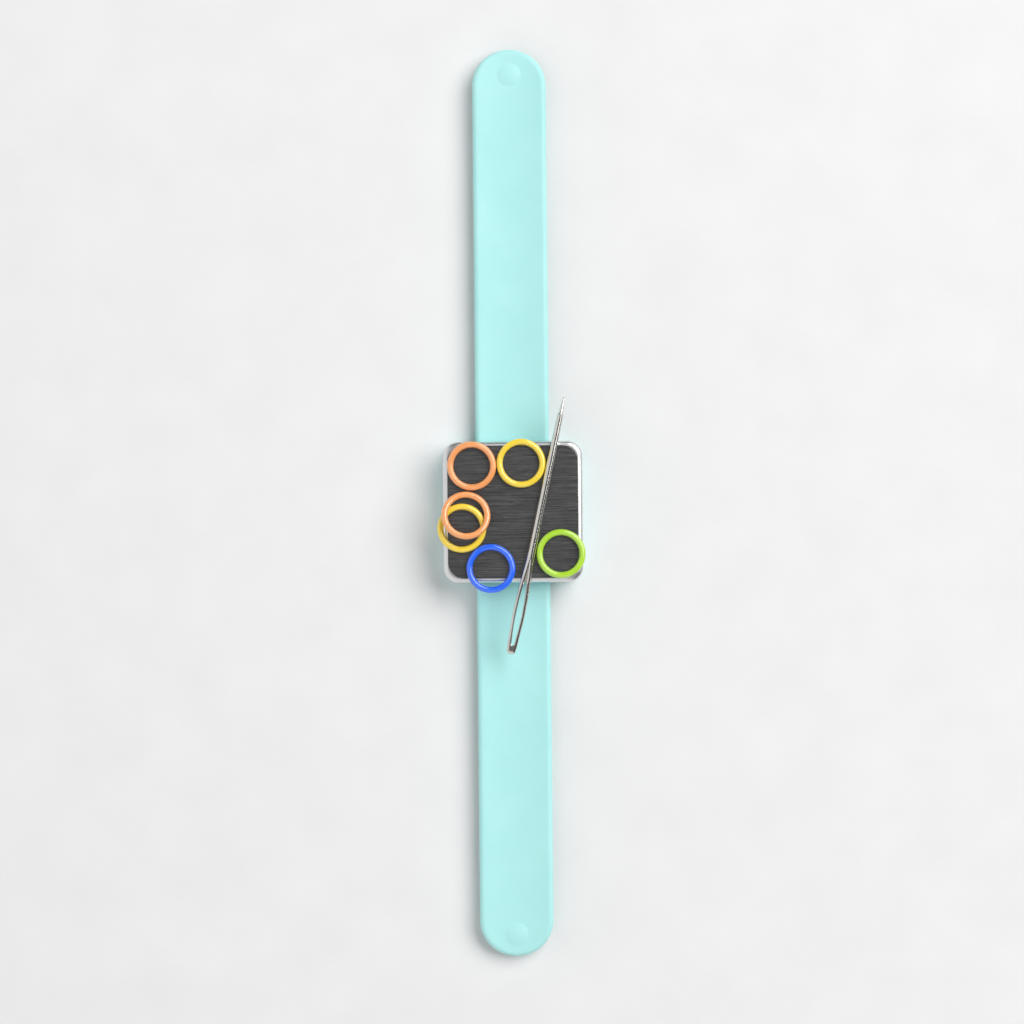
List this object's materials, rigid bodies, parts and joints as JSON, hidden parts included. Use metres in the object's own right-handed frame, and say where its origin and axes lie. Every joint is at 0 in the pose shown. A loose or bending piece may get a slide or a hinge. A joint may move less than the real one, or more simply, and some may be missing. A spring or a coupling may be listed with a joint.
{
  "type": "magnetic wrist pin holder",
  "caption": "Wrist pin holder: a square magnetic case slides on a silicone slap band with a steel tape spring inside; ring stitch markers and a darning needle lie on its face.",
  "frame": {"origin": "centre of the case's underside, the face that rests on a wrist or a table", "axes": "+Z away from the wrist, towards the magnetic face; +Y along the straight band; +X across the band"},
  "size_m": [0.0371, 0.2286, 0.0134],
  "materials": {
    "mint_silicone": "soft matte silicone, pale mint",
    "spring_steel": "cold-rolled spring strip",
    "satin_silver": "satin",
    "brushed_plate": "dark, brushed along X",
    "mint_plastic": "fine moulded texture, pale mint like the sleeve",
    "screw_steel": "zinc plated",
    "yoke_steel": "mill finish",
    "carrier_plastic": "moulded",
    "magnet_nickel": "nickel plated",
    "adhesive_foam": "adhesive sheet",
    "needle_nickel": "polished nickel",
    "enamel_orange": "gloss enamel",
    "enamel_yellow": "gloss enamel",
    "enamel_blue": "gloss enamel",
    "enamel_green": "gloss enamel"
  },
  "bodies": {
    "case": {"base_cover": "mint_plastic", "cover_screws": "screw_steel", "housing": "mint_plastic", "bezel": "satin_silver", "magnet_yoke": "yoke_steel", "magnet_carrier": "carrier_plastic", "disc_magnets": "magnet_nickel", "adhesive_sheet": "adhesive_foam", "face_plate": "brushed_plate"},
    "band_core": {"sleeve_core": "mint_silicone", "spring_core": "spring_steel"},
    "front_link_01": {"sleeve_front_01": "mint_silicone", "spring_front_01": "spring_steel"},
    "front_link_02": {"sleeve_front_02": "mint_silicone", "spring_front_02": "spring_steel"},
    "front_link_03": {"sleeve_front_03": "mint_silicone", "spring_front_03": "spring_steel"},
    "front_link_04": {"sleeve_front_04": "mint_silicone", "spring_front_04": "spring_steel"},
    "front_link_05": {"sleeve_front_05": "mint_silicone", "spring_front_05": "spring_steel"},
    "front_link_06": {"sleeve_front_06": "mint_silicone", "spring_front_06": "spring_steel"},
    "front_link_07": {"sleeve_front_07": "mint_silicone", "spring_front_07": "spring_steel"},
    "front_link_08": {"sleeve_front_08": "mint_silicone", "spring_front_08": "spring_steel"},
    "front_link_09": {"sleeve_front_09": "mint_silicone", "spring_front_09": "spring_steel"},
    "front_link_10": {"sleeve_front_10": "mint_silicone", "spring_front_10": "spring_steel"},
    "rear_link_01": {"sleeve_rear_01": "mint_silicone", "spring_rear_01": "spring_steel"},
    "rear_link_02": {"sleeve_rear_02": "mint_silicone", "spring_rear_02": "spring_steel"},
    "rear_link_03": {"sleeve_rear_03": "mint_silicone", "spring_rear_03": "spring_steel"},
    "rear_link_04": {"sleeve_rear_04": "mint_silicone", "spring_rear_04": "spring_steel"},
    "rear_link_05": {"sleeve_rear_05": "mint_silicone", "spring_rear_05": "spring_steel"},
    "rear_link_06": {"sleeve_rear_06": "mint_silicone", "spring_rear_06": "spring_steel"},
    "rear_link_07": {"sleeve_rear_07": "mint_silicone", "spring_rear_07": "spring_steel"},
    "rear_link_08": {"sleeve_rear_08": "mint_silicone", "spring_rear_08": "spring_steel"},
    "rear_link_09": {"sleeve_rear_09": "mint_silicone", "spring_rear_09": "spring_steel"},
    "rear_link_10": {"sleeve_rear_10": "mint_silicone", "spring_rear_10": "spring_steel"},
    "needle": {"darning_needle": "needle_nickel"},
    "ring_orange_a": {"ring_marker_orange_a": "enamel_orange"},
    "ring_yellow_a": {"ring_marker_yellow_a": "enamel_yellow"},
    "ring_yellow_b": {"ring_marker_yellow_b": "enamel_yellow"},
    "ring_orange_b": {"ring_marker_orange_b": "enamel_orange"},
    "ring_blue": {"ring_marker_blue": "enamel_blue"},
    "ring_green": {"ring_marker_green": "enamel_green"}
  },
  "joints": [
    {"name": "band_slide", "type": "slide", "parent": "case", "child": "band_core", "axis": [0, 1, 0], "range_m": [-0.0053, 0.0007]},
    {"name": "front_curl_01", "type": "hinge", "parent": "band_core", "child": "front_link_01", "pos_m": [0, -0.0187, 0.00125], "axis": [1, 0, 0], "range_deg": [0, 20]},
    {"name": "front_curl_02", "type": "hinge", "parent": "front_link_01", "child": "front_link_02", "pos_m": [0, -0.0242, 0.00125], "axis": [1, 0, 0], "range_deg": [0, 20]},
    {"name": "front_curl_03", "type": "hinge", "parent": "front_link_02", "child": "front_link_03", "pos_m": [0, -0.0302, 0.00125], "axis": [1, 0, 0], "range_deg": [0, 20]},
    {"name": "front_curl_04", "type": "hinge", "parent": "front_link_03", "child": "front_link_04", "pos_m": [0, -0.0367, 0.00125], "axis": [1, 0, 0], "range_deg": [0, 20]},
    {"name": "front_curl_05", "type": "hinge", "parent": "front_link_04", "child": "front_link_05", "pos_m": [0, -0.0432, 0.00125], "axis": [1, 0, 0], "range_deg": [0, 20]},
    {"name": "front_curl_06", "type": "hinge", "parent": "front_link_05", "child": "front_link_06", "pos_m": [0, -0.0502, 0.00125], "axis": [1, 0, 0], "range_deg": [0, 20]},
    {"name": "front_curl_07", "type": "hinge", "parent": "front_link_06", "child": "front_link_07", "pos_m": [0, -0.0582, 0.00125], "axis": [1, 0, 0], "range_deg": [0, 20]},
    {"name": "front_curl_08", "type": "hinge", "parent": "front_link_07", "child": "front_link_08", "pos_m": [0, -0.0677, 0.00125], "axis": [1, 0, 0], "range_deg": [0, 20]},
    {"name": "front_curl_09", "type": "hinge", "parent": "front_link_08", "child": "front_link_09", "pos_m": [0, -0.0797, 0.00125], "axis": [1, 0, 0], "range_deg": [0, 20]},
    {"name": "front_curl_10", "type": "hinge", "parent": "front_link_09", "child": "front_link_10", "pos_m": [0, -0.0937, 0.00125], "axis": [1, 0, 0], "range_deg": [0, 20]},
    {"name": "rear_curl_01", "type": "hinge", "parent": "band_core", "child": "rear_link_01", "pos_m": [0, 0.0233, 0.00125], "axis": [-1, 0, 0], "range_deg": [0, 18.5]},
    {"name": "rear_curl_02", "type": "hinge", "parent": "rear_link_01", "child": "rear_link_02", "pos_m": [0, 0.0288, 0.00125], "axis": [-1, 0, 0], "range_deg": [0, 18.5]},
    {"name": "rear_curl_03", "type": "hinge", "parent": "rear_link_02", "child": "rear_link_03", "pos_m": [0, 0.0348, 0.00125], "axis": [-1, 0, 0], "range_deg": [0, 18.5]},
    {"name": "rear_curl_04", "type": "hinge", "parent": "rear_link_03", "child": "rear_link_04", "pos_m": [0, 0.0413, 0.00125], "axis": [-1, 0, 0], "range_deg": [0, 18.5]},
    {"name": "rear_curl_05", "type": "hinge", "parent": "rear_link_04", "child": "rear_link_05", "pos_m": [0, 0.0478, 0.00125], "axis": [-1, 0, 0], "range_deg": [0, 18.5]},
    {"name": "rear_curl_06", "type": "hinge", "parent": "rear_link_05", "child": "rear_link_06", "pos_m": [0, 0.0548, 0.00125], "axis": [-1, 0, 0], "range_deg": [0, 18.5]},
    {"name": "rear_curl_07", "type": "hinge", "parent": "rear_link_06", "child": "rear_link_07", "pos_m": [0, 0.0628, 0.00125], "axis": [-1, 0, 0], "range_deg": [0, 18.5]},
    {"name": "rear_curl_08", "type": "hinge", "parent": "rear_link_07", "child": "rear_link_08", "pos_m": [0, 0.0723, 0.00125], "axis": [-1, 0, 0], "range_deg": [0, 18.5]},
    {"name": "rear_curl_09", "type": "hinge", "parent": "rear_link_08", "child": "rear_link_09", "pos_m": [0, 0.0843, 0.00125], "axis": [-1, 0, 0], "range_deg": [0, 18.5]},
    {"name": "rear_curl_10", "type": "hinge", "parent": "rear_link_09", "child": "rear_link_10", "pos_m": [0, 0.0983, 0.00125], "axis": [-1, 0, 0], "range_deg": [0, 18.5]},
    {"name": "needle_lift", "type": "slide", "parent": "case", "child": "needle", "axis": [0, 0, 1], "range_m": [0, 0.03]},
    {"name": "ring_orange_a_lift", "type": "slide", "parent": "case", "child": "ring_orange_a", "axis": [0, 0, 1], "range_m": [0, 0.03]},
    {"name": "ring_yellow_a_lift", "type": "slide", "parent": "case", "child": "ring_yellow_a", "axis": [0, 0, 1], "range_m": [0, 0.03]},
    {"name": "ring_yellow_b_lift", "type": "slide", "parent": "case", "child": "ring_yellow_b", "axis": [0, 0, 1], "range_m": [0, 0.03]},
    {"name": "ring_orange_b_lift", "type": "slide", "parent": "ring_yellow_b", "child": "ring_orange_b", "axis": [0, 0, 1], "range_m": [0, 0.03]},
    {"name": "ring_blue_lift", "type": "slide", "parent": "case", "child": "ring_blue", "axis": [0, 0, 1], "range_m": [0, 0.03]},
    {"name": "ring_green_lift", "type": "slide", "parent": "case", "child": "ring_green", "axis": [0, 0, 1], "range_m": [0, 0.03]}
  ],
  "couplings": [
    {"joint": "front_curl_02", "follows": "front_curl_01", "ratio": 1},
    {"joint": "front_curl_03", "follows": "front_curl_01", "ratio": 1},
    {"joint": "front_curl_04", "follows": "front_curl_01", "ratio": 1},
    {"joint": "front_curl_05", "follows": "front_curl_01", "ratio": 1},
    {"joint": "front_curl_06", "follows": "front_curl_01", "ratio": 1},
    {"joint": "front_curl_07", "follows": "front_curl_01", "ratio": 1},
    {"joint": "front_curl_08", "follows": "front_curl_01", "ratio": 1},
    {"joint": "front_curl_09", "follows": "front_curl_01", "ratio": 1},
    {"joint": "front_curl_10", "follows": "front_curl_01", "ratio": 1},
    {"joint": "rear_curl_02", "follows": "rear_curl_01", "ratio": 1},
    {"joint": "rear_curl_03", "follows": "rear_curl_01", "ratio": 1},
    {"joint": "rear_curl_04", "follows": "rear_curl_01", "ratio": 1},
    {"joint": "rear_curl_05", "follows": "rear_curl_01", "ratio": 1},
    {"joint": "rear_curl_06", "follows": "rear_curl_01", "ratio": 1},
    {"joint": "rear_curl_07", "follows": "rear_curl_01", "ratio": 1},
    {"joint": "rear_curl_08", "follows": "rear_curl_01", "ratio": 1},
    {"joint": "rear_curl_09", "follows": "rear_curl_01", "ratio": 1},
    {"joint": "rear_curl_10", "follows": "rear_curl_01", "ratio": 1}
  ]
}
